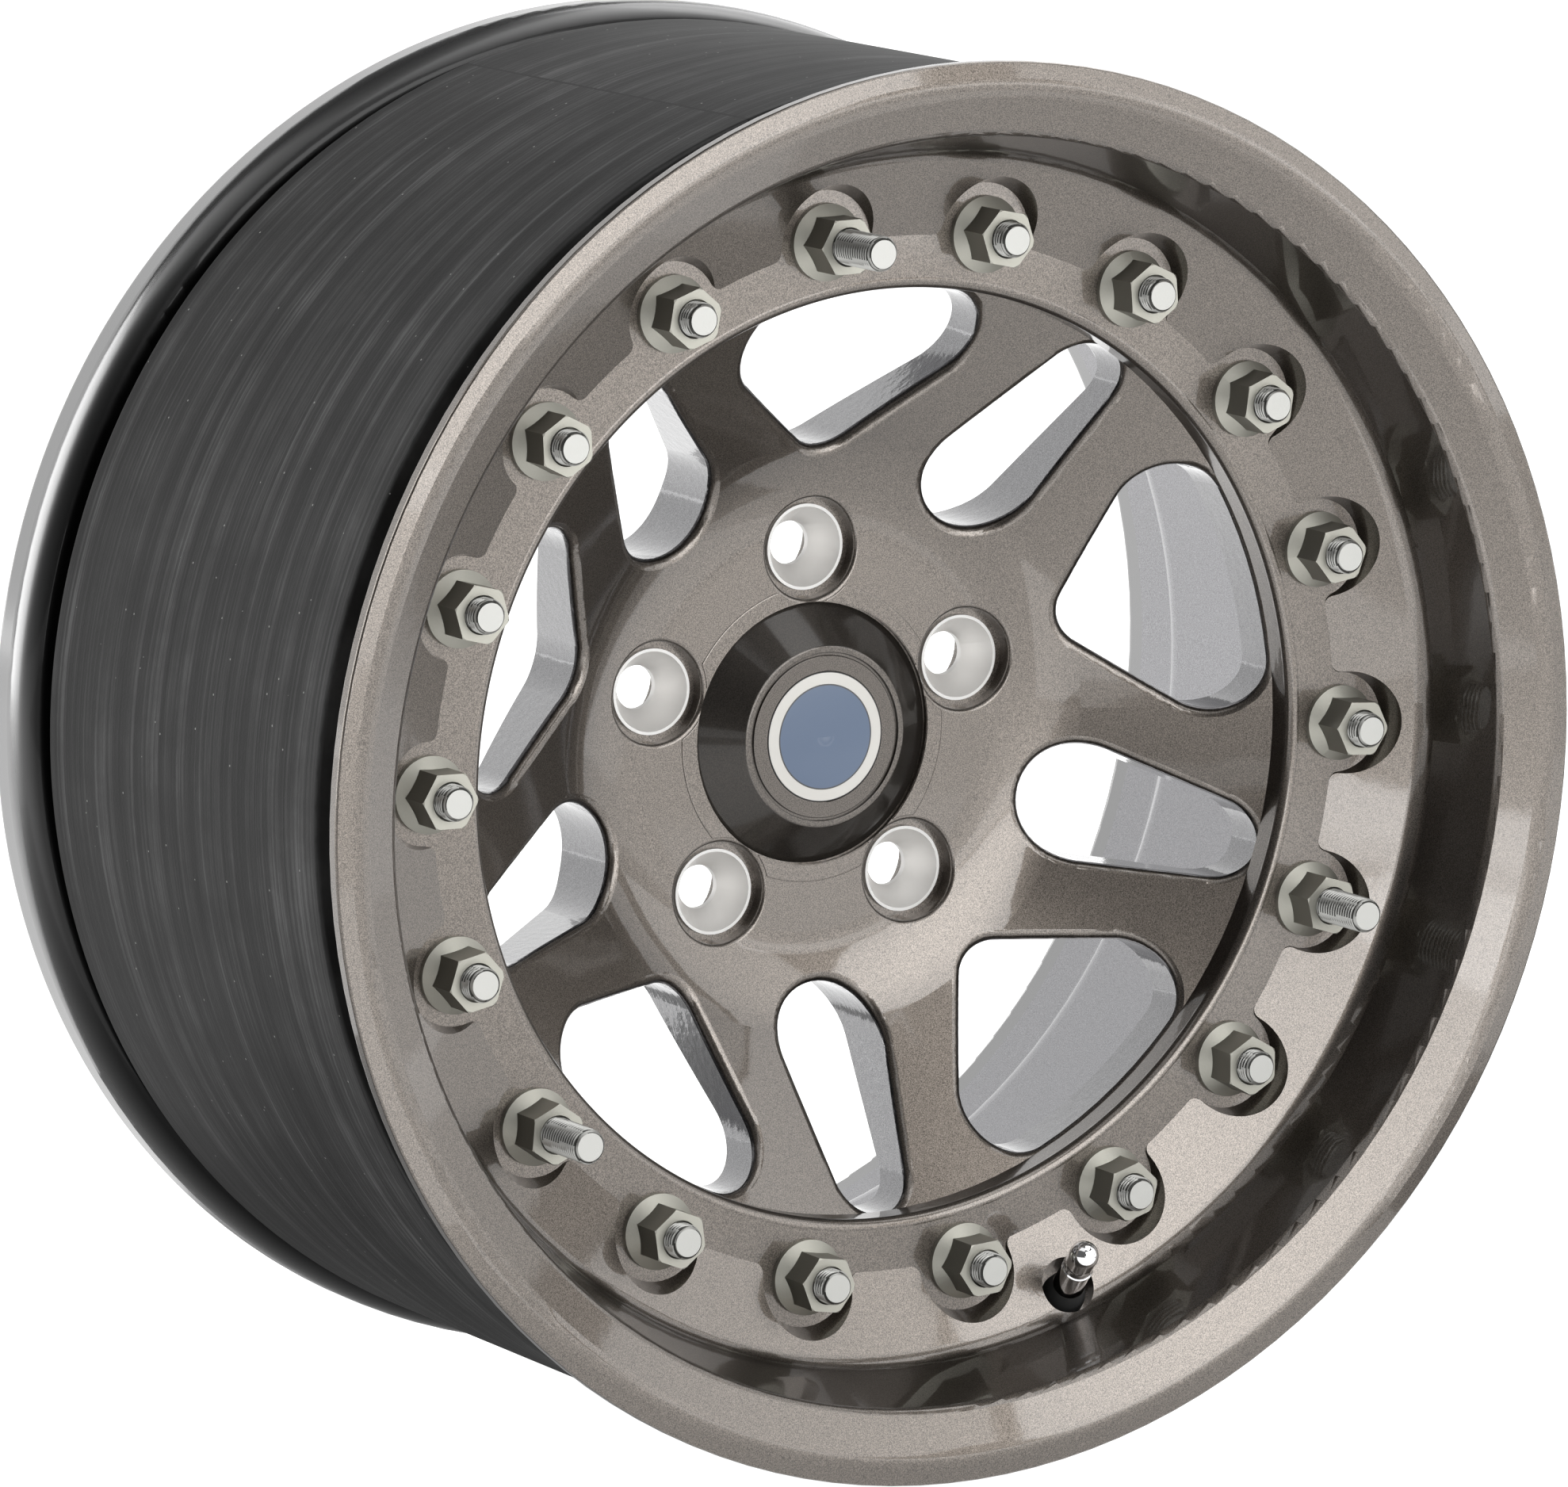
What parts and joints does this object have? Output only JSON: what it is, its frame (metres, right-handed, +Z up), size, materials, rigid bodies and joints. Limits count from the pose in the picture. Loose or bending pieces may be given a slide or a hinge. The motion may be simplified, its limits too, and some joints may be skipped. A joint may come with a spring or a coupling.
{
  "type": "beadlock wheel",
  "caption": "Two-piece off-road beadlock wheel: spoked dished disc and barrel, bolted outer rim with nut pockets, rubber bead insert, tyre valve and push-in centre cap.",
  "frame": {"origin": "centre of the hub pad, where the wheel's axis meets the plane of the pad", "axes": "+Y along the wheel's axis towards the vehicle, so the face looks to -Y; +Z up through one lug hole; +X right seen from the face"},
  "size_m": [0.4766, 0.2517, 0.4766],
  "materials": {
    "rim_paint": "cast aluminium under bronze-grey metallic paint with clear coat",
    "insert_rubber": "matt charcoal rubber with faint streaks round it",
    "seal_rubber": "matt black rubber",
    "zinc_steel": "bright zinc plate",
    "machined_steel": "turned and plated",
    "spring_steel": "drawn wire",
    "chrome": "polished chrome plate",
    "brass": "turned brass",
    "cap_paint": "moulded plastic in the rim's paint",
    "emblem": "plain two-tone badge under clear resin"
  },
  "bodies": {
    "wheel": {"inner_rim": "rim_paint", "outer_rim": "rim_paint", "bead_insert": "insert_rubber", "rim_seal": "seal_rubber", "short_studs": "zinc_steel", "long_studs": "zinc_steel", "clamp_nuts": "zinc_steel", "lug_seats": "machined_steel", "valve_grommet": "seal_rubber", "valve_stem": "brass", "valve_sleeve": "chrome", "valve_core_body": "brass", "valve_core_gasket": "seal_rubber", "valve_spring": "spring_steel"},
    "hub_cover": {"centre_cap": "cap_paint", "cap_emblem": "emblem", "cap_retaining_ring": "spring_steel"},
    "dust_cap": {"valve_cap": "chrome", "valve_cap_seal": "seal_rubber"},
    "core_pin": {"valve_pin": "brass", "valve_pin_seal": "seal_rubber"}
  },
  "joints": [
    {"name": "cap_pull", "type": "slide", "parent": "wheel", "child": "hub_cover", "axis": [0, -1, 0], "range_m": [0, 0.025]},
    {"name": "dust_cap_off", "type": "slide", "parent": "wheel", "child": "dust_cap", "axis": [-0.2017, -0.7615, 0.6159], "range_m": [0, 0.014]},
    {"name": "valve_press", "type": "slide", "parent": "wheel", "child": "core_pin", "axis": [0.2017, 0.7615, -0.6159], "range_m": [0, 0.0015], "stiffness_N_per_m": 900, "springref_m": -0.0005, "deforming": ["valve_spring"]}
  ]
}
